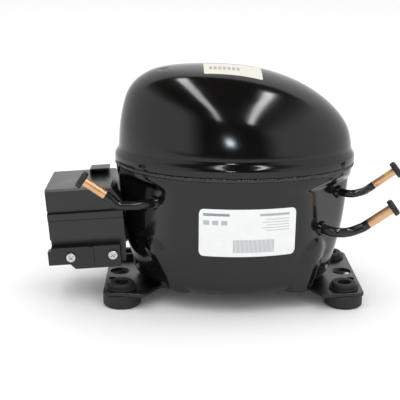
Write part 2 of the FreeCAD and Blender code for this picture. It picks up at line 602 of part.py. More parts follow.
# ---- cylinder block, crankshaft, rod and piston ----
head_face = "shaft_x - barrel_far"
block_parts = [
    cylinder("Hub", "hub_r", "bed_z + bed_t - hub_low", ("shaft_x", 0, "hub_low")),
    box("Bed", "bed_half * 2", "bed_half * 2", "bed_t", ("shaft_x - bed_half", "-bed_half", "bed_z")),
    cylinder("Barrel", "barrel_r", "barrel_far - barrel_near", ("shaft_x - barrel_near", 0, "bore_z"),
             facing_left),
    box("Saddle", "barrel_far - barrel_near", "barrel_r * 1.4", "bore_z - bed_z",
        (head_face, "-barrel_r * 0.7", "bed_z")),
    box("HeadFlange", "flange_t", "head_half * 2", "head_half * 2",
        (head_face, "-head_half", "bore_z - head_half"))]
block_parts += [cylinder(f"Leg{i}", "leg_r", "bed_z - stator_z - stator_h",
                         (f"shaft_x + {x}", y, "stator_z + stator_h")) for i, (x, y) in enumerate(bolt_spots)]
head_bolt_spots = [(f"{sy} * head_bolt_at", f"bore_z + {sz} * head_bolt_at")
                   for sy, sz in ((-1, -1), (1, -1), (1, 1), (-1, 1))]
block_holes = [cylinder("MainBore", "shaft_r + running_gap", 200, ("shaft_x", 0, 0)),
               cylinder("CylinderBore", "bore_r", "barrel_far", ("shaft_x - 1", 0, "bore_z"), facing_left)]
block_holes += [cylinder(f"BoltHole{i}", "bolt_r + bolt_gap", 120, (f"shaft_x + {x}", y, 0))
                for i, (x, y) in enumerate(bolt_spots)]
block_holes += [cylinder(f"HeadHole{i}", "head_bolt_r + bolt_gap", "flange_t + 1",
                         (f"{head_face} + flange_t + 0.5", y, z), facing_left)
                for i, (y, z) in enumerate(head_bolt_spots)]
keep(cut("Block", fuse("BlockSolid", block_parts), fuse("BlockHoles", block_holes)), "cylinder_block")

turned("thrust_washer", [("shaft_r + 0.3", "bed_z + bed_t"), ("hub_r - 1", "bed_z + bed_t"),
                         ("hub_r - 1", "web_z - running_gap"), ("shaft_r + 0.3", "web_z - running_gap")], axis_at)
crank_parts = [cylinder("Journal", "shaft_r", "web_z - shaft_low", ("shaft_x", 0, "shaft_low")),
               cylinder("Web", "web_r", "web_t", ("shaft_x", 0, "web_z")),
               cylinder("Pin", "crank_pin_r", "web_t + rod_t + 1.5", ("shaft_x", "crank_r", "web_z"))]
weight = primitive("Cylinder", "Weight", {"Radius": "weight_r", "Height": "web_t"}, ("shaft_x", 0, "web_z"),
                   ((0, 0, -1), 150))
weight.Angle = 120
keep(fuse("Crank", crank_parts + [weight]), "crankshaft")
turned("oil_pickup", [(1.5, "pickup_low"), ("pickup_r - 2", "pickup_low"), ("pickup_r", "pickup_low + 5"),
                      ("pickup_r", "shaft_low"), (3.4, "shaft_low"), (1.5, "pickup_low + 5")], axis_at)

wrist_at = ("shaft_x - rod_reach", 0, "bore_z")
rod_turn = ((0, 0, 1), "rod_lean")
rod_low = "bore_z - rod_t / 2"
rod_parts = [cylinder("BigEnd", "crank_pin_r + pivot_gap + big_end_wall", "rod_t"),
             cylinder("SmallEnd", "small_end_r", "rod_t"),
             box("Shank", "rod_len", "rod_w", "rod_t")]
big_at = ("shaft_x - rod_reach + rod_len * cos(rod_lean * 1 deg)", "rod_len * sin(rod_lean * 1 deg)", rod_low)
place(rod_parts[0], big_at)
place(rod_parts[1], ("shaft_x - rod_reach", 0, rod_low))
place(rod_parts[2], ("shaft_x - rod_reach + rod_w / 2 * sin(rod_lean * 1 deg)",
                     "-rod_w / 2 * cos(rod_lean * 1 deg)", rod_low), rod_turn)
rod_holes = [cylinder("BigBore", "crank_pin_r + pivot_gap", 200), cylinder("SmallBore", "wrist_r + running_gap", 200)]
place(rod_holes[0], big_at[:2] + (0,))
place(rod_holes[1], ("shaft_x - rod_reach", 0, 0))
keep(cut("Rod", fuse("RodSolid", rod_parts), fuse("RodHoles", rod_holes)), "connecting_rod")

piston = turned("piston", [("piston_inner_r", "-piston_skirt"), ("bore_r - running_gap", "-piston_skirt"),
                           ("bore_r - running_gap", "piston_crown"), (0, "piston_crown"),
                           (0, "piston_hollow"), ("piston_inner_r", "piston_hollow")], wrist_at, facing_left)
pocket(piston, "YZ_Plane", 40, circles=[(0, 0, "wrist_r")], lift=-20, back=True)
padded("wrist_pin", [], "wrist_half * 2", [(0, 0, "wrist_r - 0.01"), (0, 0, 2)], wrist_at, lift="-wrist_half")

# ---- cylinder head ----
square = [("-head_half", "bore_z - head_half"), ("head_half", "bore_z - head_half"),
          ("head_half", "bore_z + head_half"), ("-head_half", "bore_z + head_half")]
bolt_rings = [(y, z, "head_bolt_r + bolt_gap") for y, z in head_bolt_spots]
face = head_face
padded("head_gasket", square, "gasket_t", bolt_rings + [(0, "bore_z", "bore_r")], role="YZ_Plane",
       lift=f"{face} - gasket_t")
face = f"{face} - gasket_t"
padded("suction_reed", [("-reed_w / 2", "bore_z - reed_len / 2"), ("reed_w / 2", "bore_z - reed_len / 2"),
                        ("reed_w / 2", "bore_z + reed_len / 2"), ("-reed_w / 2", "bore_z + reed_len / 2")],
       "reed_t", role="YZ_Plane", lift=f"{face} + 0.02")
face = f"{face} - valve_t"
padded("valve_plate", square, "valve_t", bolt_rings + [(0, "bore_z - 5", "port_r"), (0, "bore_z + 5", "port_r")],
       role="YZ_Plane", lift=face)
padded("discharge_reed", [("-reed_w / 2", "bore_z - reed_len / 2"), ("reed_w / 2", "bore_z - reed_len / 2"),
                          ("reed_w / 2", "bore_z + reed_len / 2"), ("-reed_w / 2", "bore_z + reed_len / 2")],
       "reed_t", role="YZ_Plane", lift=f"{face} - reed_t - 0.02")
head = padded("cylinder_head", square, "head_t", bolt_rings, role="YZ_Plane", lift=f"{face} - head_t")
room = "(head_half - head_wall - 4)"
pocket(head, "YZ_Plane", "head_t - head_wall",
       [(f"-{room}", f"bore_z - {room}"), (room, f"bore_z - {room}"), (room, f"bore_z + {room}"),
        (f"-{room}", f"bore_z + {room}")], lift=face)
seat = "-gasket_t - valve_t - head_t"
gather("head_bolts", [
    turned(f"HeadBolt{i}", [(0, f"{seat} - head_bolt_cap"), ("head_bolt_cap_r", f"{seat} - head_bolt_cap"),
                            ("head_bolt_cap_r", seat), ("head_bolt_r", seat),
                            ("head_bolt_r", "flange_t - 0.5"), (0, "flange_t - 0.5")],
           (head_face, y, z), ((0, 1, 0), 90)) for i, (y, z) in enumerate(head_bolt_spots)])

muffler_low = "bore_z + head_half + 0.2"
muffler = padded("suction_muffler", [("-muffler_half", muffler_low), ("muffler_half", muffler_low),
                                     ("muffler_half", f"{muffler_low} + muffler_h - muffler_ease"),
                                     ("muffler_half - muffler_ease", f"{muffler_low} + muffler_h"),
                                     ("-muffler_half + muffler_ease", f"{muffler_low} + muffler_h"),
                                     ("-muffler_half", f"{muffler_low} + muffler_h - muffler_ease")],
                 "muffler_left - muffler_right", role="YZ_Plane", lift="-muffler_left")

stub_start = Vector(*TUBES["discharge"][0])
stub_way = Vector(*TUBES["discharge"][1]) - stub_start
stub_way.normalize()
loop_points = [Vector(-67, -18.3, 110), Vector(-67, -24, 110), Vector(-57, -32, 105), Vector(-40, -43, 99),
               Vector(-6, -50, 92), Vector(34, -45, 88), Vector(54, -34, 86), Vector(59, -16, 85.5),
               stub_start - stub_way * 11, stub_start - stub_way * 0.3]
loop = doc.addObject("Part::Feature", "DischargeLoop")
loop.Shape = hollow_pipe(tube_wire(loop_points), size("loop_r"), size("loop_r") - size("tube_wall"))
keep(loop, "discharge_loop")

# ---- suspension ----
floor_z = "plate_z + plate_t + wall"
spring_seats, spring_caps, springs = [], [], []
for i, (x, y) in enumerate(bolt_spots):
    spot = (f"shaft_x + {x}", y, 0)
    spring_seats.append(turned(f"SpringSeat{i}", [(0, floor_z), ("seat_r", floor_z), ("seat_r", f"{floor_z} + seat_t"),
                                    ("post_r", f"{floor_z} + seat_t"), ("post_r", f"{floor_z} + seat_t + post_h"),
                                    (0, f"{floor_z} + seat_t + post_h")], spot))
    cap_low = "stator_z - cap_t_spring"
    spring_caps.append(turned(f"SpringCap{i}", [(0, f"{cap_low} - cap_post"), ("post_r", f"{cap_low} - cap_post"),
                                   ("post_r", cap_low), ("seat_r", cap_low), ("seat_r", "stator_z"),
                                   ("bolt_head_r + 0.1", "stator_z"),
                                   ("bolt_head_r + 0.1", "stator_z - bolt_head_h - 0.1"),
                                   (0, "stator_z - bolt_head_h - 0.1")], spot))
    low = size("plate_z") + size("plate_t") + size("wall") + size("seat_t") + size("spring_wire")
    high = size("stator_z") - size("cap_t_spring") - size("spring_wire")
    coil = Part.makeHelix((high - low) / size("spring_turns"), high - low, size("spring_r"))
    section = [Vector(size("spring_r") + size("spring_wire") * math.cos(math.tau * side / 8), 0,
                      size("spring_wire") * math.sin(math.tau * side / 8)) for side in range(8)]
    spring = doc.addObject("Part::Feature", f"Spring{i}")
    spring.Shape = Part.Wire(coil.Edges).makePipeShell([Part.makePolygon(section + section[:1])], True, True)
    springs.append(place(spring, (f"shaft_x + {x}", y, low)))
gather("spring_seats", spring_seats)
gather("spring_caps", spring_caps)
gather("suspension_springs", springs)

# ---- checks and export ----
doc.recompute()
for thing in doc.Objects:
    if "Invalid" in thing.State or "Error" in thing.State:
        raise RuntimeError(f"{thing.Label} failed: {thing.State}")
os.makedirs("parts", exist_ok=True)
for thing in nodes:
    shape = thing.Shape
    if shape.isNull() or not shape.isValid():
        raise RuntimeError(f"{thing.Label} has no valid shape")
    shape.exportStep(f"parts/{thing.Label}.step")
    print(f"{thing.Label}: {len(shape.Solids)} solid, {shape.Volume:.0f} mm3")
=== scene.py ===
import math

import bmesh
import bpy
from mathutils import Matrix, Vector, noise


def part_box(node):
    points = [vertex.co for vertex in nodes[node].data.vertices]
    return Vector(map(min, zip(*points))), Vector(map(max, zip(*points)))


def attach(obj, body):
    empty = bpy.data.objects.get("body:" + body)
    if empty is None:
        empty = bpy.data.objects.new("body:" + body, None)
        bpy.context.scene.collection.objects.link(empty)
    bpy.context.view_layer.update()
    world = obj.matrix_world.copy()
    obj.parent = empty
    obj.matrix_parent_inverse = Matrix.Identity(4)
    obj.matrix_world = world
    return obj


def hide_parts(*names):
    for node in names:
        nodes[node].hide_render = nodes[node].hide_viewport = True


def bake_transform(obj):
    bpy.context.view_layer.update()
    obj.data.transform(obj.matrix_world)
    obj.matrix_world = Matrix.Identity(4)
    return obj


# A hermetic refrigerator compressor on a pale floor. Shapes are worked out in millimetres and
# written to the meshes in metres.
mm = 0.001

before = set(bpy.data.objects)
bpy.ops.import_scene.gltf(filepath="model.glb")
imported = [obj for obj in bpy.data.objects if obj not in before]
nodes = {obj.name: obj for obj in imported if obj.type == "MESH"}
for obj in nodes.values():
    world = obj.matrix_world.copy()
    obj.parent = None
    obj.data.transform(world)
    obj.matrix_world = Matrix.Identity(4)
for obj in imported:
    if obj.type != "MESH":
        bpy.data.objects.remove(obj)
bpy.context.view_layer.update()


def lowCorner(name):
    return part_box(name)[0] / mm


def highCorner(name):
    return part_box(name)[1] / mm


# ---- colours and materials ----

def linear(colour):
    shares = [int(colour[start:start + 2], 16) / 255 for start in (1, 3, 5)]
    return [share / 12.92 if share <= 0.04045 else ((share + 0.055) / 1.055) ** 2.4
            for share in shares] + [1.0]


def addNode(tree, kind, inputs=None, **settings):
    node = tree.nodes.new(kind)
    for name, value in settings.items():
        setattr(node, name, value)
    for name, value in (inputs or {}).items():
        if isinstance(value, bpy.types.NodeSocket):
            tree.links.new(value, node.inputs[name])
        else:
            node.inputs[name].default_value = value
    return node


def shaded(tree, factor, colour, swing):
    # a ramp from a little darker to a little lighter than the colour
    ramp = addNode(tree, "ShaderNodeValToRGB", {"Fac": factor})
    base = linear(colour)
    ramp.color_ramp.elements[0].position = 0.3
    ramp.color_ramp.elements[1].position = 0.7
    ramp.color_ramp.elements[0].color = [channel * (1 - swing) for channel in base[:3]] + [1]
    ramp.color_ramp.elements[1].color = [min(1, channel * (1 + swing)) for channel in base[:3]] + [1]
    return ramp.outputs["Color"]


def material(name, colour, roughness, patch=4.0, swing=0.08, uneven=0.05, dent=0.0, dentSize=1.0, **sockets):
    # patch and dentSize are pattern sizes in millimetres, dent its depth
    made = bpy.data.materials.new(name)
    made.use_nodes = True
    tree = made.node_tree
    shader = tree.nodes["Principled BSDF"]
    place = addNode(tree, "ShaderNodeTexCoord").outputs["Object"]
    cloud = addNode(tree, "ShaderNodeTexNoise",
                    {"Vector": place, "Scale": 1 / (patch * mm), "Detail": 4.0}).outputs["Fac"]
    tree.links.new(shaded(tree, cloud, colour, swing), shader.inputs["Base Color"])
    worn = addNode(tree, "ShaderNodeMapRange", {"Value": cloud, "From Min": 0.3, "From Max": 0.7,
                                                "To Min": max(0.02, roughness - uneven),
                                                "To Max": min(1, roughness + uneven)})
    tree.links.new(worn.outputs["Result"], shader.inputs["Roughness"])
    if dent:
        grain = addNode(tree, "ShaderNodeTexNoise",
                        {"Vector": place, "Scale": 1 / (dentSize * mm), "Detail": 3.0}).outputs["Fac"]
        bump = addNode(tree, "ShaderNodeBump", {"Height": grain, "Distance": dent * mm})
        tree.links.new(bump.outputs["Normal"], shader.inputs["Normal"])
    for socket, value in sockets.items():
        shader.inputs[socket.replace("_", " ")].default_value = value
    return made


# glossy black paint over pressed steel, with a trace of orange peel
blackPaint = material("black_paint_on_pressed_steel", "#0e0d0c", 0.12, patch=30, swing=0.15, uneven=0.03,
                      dent=0.012, dentSize=5, IOR=1.47)
# the same paint where it lies thin and rough on the weld
weldPaint = material("black_paint_on_weld_bead", "#161514", 0.26, patch=2, swing=0.4, uneven=0.12,
                     dent=0.14, dentSize=1.4, IOR=1.6)
# satin black dip paint on the foot plates
platePaint = material("black_paint_on_foot_plate", "#121111", 0.26, patch=18, swing=0.15, uneven=0.06,
                      dent=0.02, dentSize=2.5, IOR=1.5)
# black paint brushed over the steel tube stubs
tubePaint = material("black_paint_on_tube", "#100f0f", 0.22, patch=8, swing=0.15, uneven=0.06,
                     dent=0.03, dentSize=2)
# drawn copper, tarnished a little towards orange and pink
copper = material("drawn_copper", "#dab27e", 0.3, patch=7, swing=0.16, uneven=0.08, Metallic=1.0)
for node in copper.node_tree.nodes:
    if node.type == "VALTORGB":
        node.color_ramp.elements[0].color = linear("#c99a80")
# moulded caps and plugs
capRubber = material("moulded_cap_rubber", "#181717", 0.55, patch=4, swing=0.15, dent=0.03, dentSize=0.6)
# matte moulded grommets
grommetRubber = material("moulded_grommet_rubber", "#161515", 0.62, patch=6, swing=0.18, uneven=0.08,
                         dent=0.05, dentSize=0.9)
# injection moulded cover and clamp plate, near black with a soft shine
boxPlastic = material("moulded_cover_plastic", "#1d1d1f", 0.3, patch=10, swing=0.06, uneven=0.02)
clampPlastic = material("moulded_clamp_plastic", "#131314", 0.34, patch=10, swing=0.08, uneven=0.02)
# bright zinc plated screws, with a faint mottle
zinc = material("zinc_plated_screw_steel", "#c9cdce", 0.26, patch=1.5, swing=0.12, Metallic=1.0)
# glass of the sealed pins
sealGlass = material("sealing_glass", "#2c4a44", 0.1, patch=2, swing=0.15)
# bare turned and ground steel, fairly sharp reflections
bareSteel = material("turned_steel", "#a9abad", 0.28, patch=3, swing=0.1, Metallic=1.0)
# dark oiled steel of springs and reeds
springSteel = material("oiled_spring_steel", "#74767a", 0.3, patch=2, swing=0.12, Metallic=1.0)
# stacked core sheets, dull grey and a little streaked
lamination = material("stacked_core_steel", "#5d5f63", 0.45, patch=2, swing=0.15, Metallic=1.0)
# enamelled wire, red brown, with the wires as small bumps drawn coarser than they are
winding = material("enamelled_copper_wire", "#8f4a22", 0.32, patch=0.8, swing=0.3, dent=0.25, dentSize=1.1)
# die cast aluminium, pale and softly shining
aluminium = material("die_cast_aluminium", "#b9bbbd", 0.38, patch=4, swing=0.08, Metallic=1.0)
# machined cast iron, dark with a fine grain
castIron = material("machined_cast_iron", "#56575a", 0.52, patch=2, swing=0.2, dent=0.06, dentSize=0.8,
                    Metallic=1.0)
# pressed fibre, quite matte
gasket = material("fibre_gasket", "#4b4742", 0.8, patch=1.5, swing=0.2)
# moulded plastic of relay and protector, black with a slight shine
relayPlastic = material("moulded_relay_plastic", "#1f2022", 0.4, patch=6, swing=0.1)
# unpainted moulded muffler, ivory
mufflerPlastic = material("moulded_muffler_plastic", "#d8d3c4", 0.45, patch=8, swing=0.05)
print("materials done")


# ---- helpers for pieces ----

def finishPiece(name, shape, body, finish, standsFor=(), crease=35.0):
    # edges sharper than the crease angle stay sharp, all else shades smooth
    for face in shape.faces:
        face.smooth = True
    for edge in shape.edges:
        if len(edge.link_faces) == 2 and edge.calc_face_angle(0.0) > math.radians(crease):
            edge.smooth = False
    mesh = bpy.data.meshes.new(name)
    shape.to_mesh(mesh)
    shape.free()
    mesh.materials.append(finish)
    piece = bpy.data.objects.new(name, mesh)
    bpy.context.scene.collection.objects.link(piece)
    if body:
        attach(piece, body)
    if standsFor:
        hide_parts(*standsFor)
    return piece


def merged(name):
    shape = bmesh.new()
    shape.from_mesh(nodes[name].data)
    bmesh.ops.remove_doubles(shape, verts=shape.verts, dist=0.001 * mm)
    return shape


def eased(name, body, finish, width=0.0, segments=2, crease=35.0):
    # the CAD node's shape with its sharp edges rounded
    shape = merged(name)
    if width:
        bmesh.ops.dissolve_limit(shape, angle_limit=math.radians(1), verts=shape.verts, edges=shape.edges,
                                 use_dissolve_boundaries=False)
    bmesh.ops.recalc_face_normals(shape, faces=shape.faces)
    piece = finishPiece(name + "_finished", shape, body, finish, [name], crease)
    if width:
        rounding = piece.modifiers.new("Edges", "BEVEL")
        rounding.width = width * mm
        rounding.segments = segments
        rounding.limit_method = "ANGLE"
        rounding.angle_limit = math.radians(crease)
        rounding.use_clamp_overlap = True
        rounding.harden_normals = True
    return piece


def wrapped(across, along, spot):
    # a grid laid over spot(u, v), both from 0 to 1, with its seam and poles merged
    shape = bmesh.new()
    grid = bmesh.ops.create_grid(shape, x_segments=across, y_segments=along, size=0.5)
    for vertex in grid["verts"]:
        vertex.co = Vector(spot(vertex.co.x + 0.5, vertex.co.y + 0.5)) * mm
    bmesh.ops.remove_doubles(shape, verts=shape.verts, dist=0.0005 * mm)
    bmesh.ops.recalc_face_normals(shape, faces=shape.faces)
    return shape


def carve(piece, cutterShape):
    # takes the cutter's shape out of the piece for good
    mesh = bpy.data.meshes.new("cutter")
    cutterShape.to_mesh(mesh)
    cutterShape.free()
    cutter = bpy.data.objects.new("cutter", mesh)
    bpy.context.scene.collection.objects.link(cutter)
    cut = piece.modifiers.new("Cut", "BOOLEAN")
    cut.operation, cut.solver, cut.object, cut.use_self = "DIFFERENCE", "EXACT", cutter, True
    bpy.context.view_layer.update()
    result = bpy.data.meshes.new_from_object(piece.evaluated_get(bpy.context.evaluated_depsgraph_get()))
    piece.modifiers.clear()
    piece.data = result
    bpy.data.objects.remove(cutter)


def softStep(value, low, high):
    share = min(1, max(0, (value - low) / (high - low)))
    return share * share * (3 - 2 * share)


def softExcess(value, blend):
    # how far value passes zero, with a rounded corner
    if value <= -blend:
        return 0.0
    if value >= blend:
        return value
    return (value + blend) ** 2 / (4 * blend)


def smoothRow(rows, at):
    # the rows' values at a place between them, along a curve through all rows
    rows = sorted(rows)
    spots = [row[0] for row in rows]
    last = len(rows) - 2
    index = max(0, min(last, next((i - 1 for i, spot in enumerate(spots) if spot > at), last)))
    before, start = rows[max(0, index - 1)], rows[index]
    stop, after = rows[index + 1], rows[min(len(rows) - 1, index + 2)]
    gap = stop[0] - start[0]
    share = (at - start[0]) / gap
    values = []
    for k in range(1, len(start)):
        leave = (stop[k] - before[k]) / (stop[0] - before[0]) * gap
        arrive = (after[k] - start[k]) / (after[0] - start[0]) * gap
        values.append((2 * share ** 3 - 3 * share ** 2 + 1) * start[k]
                      + (share ** 3 - 2 * share ** 2 + share) * leave
                      + (3 * share ** 2 - 2 * share ** 3) * stop[k] + (share ** 3 - share ** 2) * arrive)
    return values


# ---- shell ----
shellSpec = {
    "wall": 3.0, "seam": 109.0, "left": 88.5, "right": 91.0, "depth": 62.0, "floor": 13.04,
    "labelRoom": 0.15, "peakX": -22.0, "round": 10.0,
    "lip": 2.5, "lipTop": 112.2, "lipBlend": 117.5, "skirtLow": 106.4, "skirtGap": 0.4,
    "beadLow": 103.2, "flare": 1.6, "flareLow": 90.2,
    "flatOut": 72.0, "flatTurn": 42.0, "flatLow": 34.0, "flatHigh": 101.0,
    "lobeMidX": 4.7, "lobeX": 42.3, "lobeY": 37.0, "lobeLowR": 12.5,
    "crownX": 48.7, "crownY": 28.0, "crownZ": 44.0, "crownR": 20.0,
    # share of the height, then how far the wall stands in on the left, right, front and back
    "bowl": [(0.781, 0.5, 1.7, 0.5), (0.489, 3, 4.5, 1.3), (0.25, 7.5, 9, 2.6), (0.0, 13, 15, 4),
             (1, 0, 0, 0)],
    "dome": [(0, 0, 0, 0), (0.171, 0.7, 0.6, 0.2), (0.357, 1.7, 4.5, 2.5), (0.543, 4, 14.5, 6.5),
             (0.70, 7.5, 28, 12), (0.814, 13, 42, 19), (0.90, 21, 57.5, 27.5), (0.957, 31, 73, 37),
             (0.99, 48, 93, 50)],
}
shellSpec["domeHeight"] = highCorner("upper_shell").z - shellSpec["seam"] - shellSpec["labelRoom"]
middleX = (shellSpec["right"] - shellSpec["left"]) / 2
tip = (shellSpec["left"] + shellSpec["peakX"], shellSpec["right"] - shellSpec["peakX"], shellSpec["depth"])
domeRows = [(math.sqrt(1 - share), *insets) for share, *insets in shellSpec["dome"]] + [(0.0, *tip)]


def domeOval(share, inset=0.0):
    # z, left, right and depth of the dome's section at a share of its height
    left, right, depth = smoothRow(domeRows, math.sqrt(1 - share))
    shrink = inset * shellSpec["wall"] * (1 - share ** 6)
    z = shellSpec["seam"] + (shellSpec["domeHeight"] - inset * shellSpec["wall"]) * share
    return (z, shellSpec["left"] - left - shrink, shellSpec["right"] - right - shrink,
            max(0, shellSpec["depth"] - depth - shrink))


def wallOval(z, out):
    return (z, shellSpec["left"] + out, shellSpec["right"] + out, shellSpec["depth"] + out)


def onOval(section, turn):
    z, left, right, depth = section
    return Vector(((right - left) / 2 + (right + left) / 2 * math.cos(turn), depth * math.sin(turn), z))


# how finely the shell and its weld are cut: steps around them, and rings over each stretch
cuts = {"domeAround": 256, "domeOut": 60, "domeIn": 24, "bowlAround": 288, "bowlCorner": 12, "bowlSides": 64,
        "bowlIn": 24, "weldAround": 900, "weldRings": 12}
# how strongly the dome's rings crowd towards the lip
crowding = 1.5
# the lip's fade into the dome, and the rounding of its lower edge outside and inside
lipEdge = {"fade": 1, "roundHigh": 0.8, "turnHigh": 0.25, "turnIn": 0.2, "underIn": 0.7, "gapOut": 0.3,
           "gapHigh": 0.5}


def lipOut(z):
    return shellSpec["lip"] * (1 - softStep(z, shellSpec["lipTop"] - lipEdge["fade"], shellSpec["lipBlend"]))


def domeSections():
    outer = []
    for step in range(cuts["domeOut"] + 1):
        section = domeOval(math.cos(math.pi / 2 * step / cuts["domeOut"]) ** crowding)
        outer.append(tuple([section[0]] + [value + lipOut(section[0]) for value in section[1:]]))
    low, lip, gap = shellSpec["skirtLow"], shellSpec["lip"], shellSpec["skirtGap"]
    outer += [wallOval(low + lipEdge["roundHigh"], lip),
              wallOval(low + lipEdge["turnHigh"], lip - lipEdge["turnIn"]),
              wallOval(low, lip - lipEdge["underIn"]), wallOval(low, gap + lipEdge["gapOut"]),
              wallOval(low + lipEdge["gapHigh"], gap), wallOval(shellSpec["seam"], gap)]
    inner = [domeOval(math.sin(math.pi / 2 * step / cuts["domeIn"]) ** crowding, inset=1)
             for step in range(cuts["domeIn"] + 1)]
    return outer + inner


dimpleSpec = {"x": -53.0, "y": -7.0, "radius": 4.0, "depth": 1.1}


def dimpled(point):
    # the small press mark on top of the dome
    away = math.hypot(point.x - dimpleSpec["x"], point.y - dimpleSpec["y"]) / dimpleSpec["radius"]
    if point.z > shellSpec["lipBlend"] and away < 1:
        point = point - Vector((0, 0, dimpleSpec["depth"] * (1 + math.cos(math.pi * away)) / 2))
    return point


sections = domeSections()
finishPiece(
    "upper_shell_finished",
    wrapped(cuts["domeAround"], len(sections) - 1,
            lambda u, v: dimpled(onOval(sections[round(v * (len(sections) - 1))], u * math.tau))),
    "shell", blackPaint, ["upper_shell"], crease=60)

flatWays = [Vector((side * math.cos(math.radians(shellSpec["flatTurn"])),
                    -math.sin(math.radians(shellSpec["flatTurn"])))) for side in (-1, 1)]
lobeCorners = [(sx, sy) for sx in (-1, 1) for sy in (-1, 1)]


# how softly the bowl's flare, flats and lobes start and end, in millimetres
pressSpec = {"flareEnd": 2, "flatFade": 12, "flatUnder": 8, "flatHighUnder": 9, "flatHighOver": 2,
             "flatBlend": 3.5, "lobeRound": 3, "lobeBlend": 0.6}


def bowlOval(z, inset=0.0):
    share = (z - shellSpec["floor"]) / (shellSpec["seam"] - shellSpec["floor"])
    left, right, depth = smoothRow(shellSpec["bowl"], share)
    rise = min(shellSpec["round"], z - shellSpec["floor"])
    turnedIn = shellSpec["round"] - math.sqrt(shellSpec["round"] ** 2 - (shellSpec["round"] - rise) ** 2)
    out = shellSpec["flare"] * softStep(z, shellSpec["flareLow"],
                                          shellSpec["beadLow"] - pressSpec["flareEnd"]) - turnedIn
    if inset:
        out = -shellSpec["wall"] - turnedIn
    return (z, shellSpec["left"] - left + out, shellSpec["right"] - right + out,
            shellSpec["depth"] - depth + out)


def pressed(point, inset=0.0):
    # the two flats that carry the tubes, pressed in, and the four spring lobes, pressed out
    z = point.z
    overLow = softStep(z, shellSpec["flatLow"] - pressSpec["flatUnder"],
                       shellSpec["flatLow"] + pressSpec["flatUnder"])
    overHigh = softStep(z, shellSpec["flatHigh"] - pressSpec["flatHighUnder"],
                        shellSpec["flatHigh"] + pressSpec["flatHighOver"])
    reachFade = pressSpec["flatFade"] * (1 - overLow * (1 - overHigh))
    for way in flatWays:
        beyond = (point.x - middleX) * way.x + point.y * way.y - shellSpec["flatOut"] - reachFade
        push = softExcess(beyond + inset * shellSpec["wall"], pressSpec["flatBlend"])
        point = point - Vector((way.x, way.y, 0)) * push
    if inset:
        return point
    for sx, sy in lobeCorners:
        share = min(1, (z - shellSpec["floor"]) / (shellSpec["crownZ"] - shellSpec["floor"]))
        low = Vector((shellSpec["lobeMidX"] + shellSpec["lobeX"] * sx, shellSpec["lobeY"] * sy))
        high = Vector((middleX + shellSpec["crownX"] * sx, shellSpec["crownY"] * sy))
        centre = low.lerp(high, share)
        radius = shellSpec["lobeLowR"] + (shellSpec["crownR"] - shellSpec["lobeLowR"]) * share
        above = max(0, z - shellSpec["crownZ"])
        radius = math.sqrt(max(0, radius ** 2 - above ** 2))
        below = max(0, shellSpec["floor"] + pressSpec["lobeRound"] - z)
        radius -= pressSpec["lobeRound"] - math.sqrt(max(0, pressSpec["lobeRound"] ** 2 - below ** 2))
        away = Vector((point.x, point.y)) - centre
        push = softExcess(radius - away.length, pressSpec["lobeBlend"])
        if away.length > 1:
            away.normalize()
            point = point + Vector((away.x, away.y, 0)) * push
    return point


# the rings across the bowl's floor, as shares of its width, and the flat below the rim
floorShares, innerFloorShares, rimLift = (0.0, 0.4, 0.7, 0.9), (0.9, 0.6, 0.3, 0.0), 0.2


def bowlSections():
    floor, seam, beadLow = shellSpec["floor"], shellSpec["seam"], shellSpec["beadLow"]
    under = [(floor, *[value * share for value in bowlOval(floor)[1:]]) for share in floorShares]
    corner = [bowlOval(floor + shellSpec["round"] * (1 - math.cos(math.pi / 2 * step / cuts["bowlCorner"])))
              for step in range(cuts["bowlCorner"] + 1)]
    sides = [bowlOval(floor + shellSpec["round"] + (beadLow - floor - shellSpec["round"]) * step / cuts["bowlSides"])
             for step in range(1, cuts["bowlSides"] + 1)]
    rim = [wallOval(beadLow + rimLift, 0), wallOval(seam, 0), wallOval(seam, -shellSpec["wall"])]
    inFloor = floor + shellSpec["wall"]
    inside = [bowlOval(seam + (inFloor - seam) * step / cuts["bowlIn"], inset=1)
              for step in range(1, cuts["bowlIn"] + 1)]
    inside += [(inFloor, *[value * share for value in inside[-1][1:]]) for share in innerFloorShares]
    return under + corner + sides + rim + inside, len(under + corner + sides + rim) - 1


bowlRows, lastOuter = bowlSections()


def bowlSpot(u, v):
    row = round(v * (len(bowlRows) - 1))
    return pressed(onOval(bowlRows[row], u * math.tau), 0 if row < lastOuter else 1)


lowerShape = wrapped(cuts["bowlAround"], len(bowlRows) - 1, bowlSpot)
lowerShell = finishPiece("lower_shell_finished", lowerShape, "shell", blackPaint, ["lower_shell"], crease=60)

# the hole that the hermetic terminal is welded into
hole = bmesh.new()
terminalLow, terminalHigh = lowCorner("terminal_body"), highCorner("terminal_body")
holeReach, holeSides, holeRadius = 30, 64, (terminalHigh.z - terminalLow.z) / 2
bmesh.ops.create_cone(
    hole, cap_ends=True, segments=holeSides, radius1=holeRadius * mm, radius2=holeRadius * mm, depth=holeReach * mm,
    matrix=Matrix.Translation((terminalLow + terminalHigh) / 2 * mm) @ Matrix.Rotation(math.pi / 2, 4, "Y"))
carve(lowerShell, hole)


def frontWall(x, z, out=0.0):
    section = bowlOval(z)
    centre, half = (section[2] - section[1]) / 2, (section[2] + section[1]) / 2
    return Vector((x, -(section[3] + out) * math.sqrt(1 - ((x - centre) / (half + out)) ** 2), z))


# the weld's half height and reach, its waves along the joint, where it is roughest, and its lumps: a coarse and
# a fine noise, each with a scale and a reach, and a drift of the waves
beadSpec = {"half": 1.75, "sunk": 0.6, "reach": 1.6, "waves": 190, "wave": 0.2, "drift": 6, "driftScale": 0.1,
            "roughX": 12, "roughSpan": 26, "roughest": 2.0, "coarse": 0.6, "coarseScale": 0.4, "fine": 0.35,
            "fineScale": 1.1, "clear": 0.05}


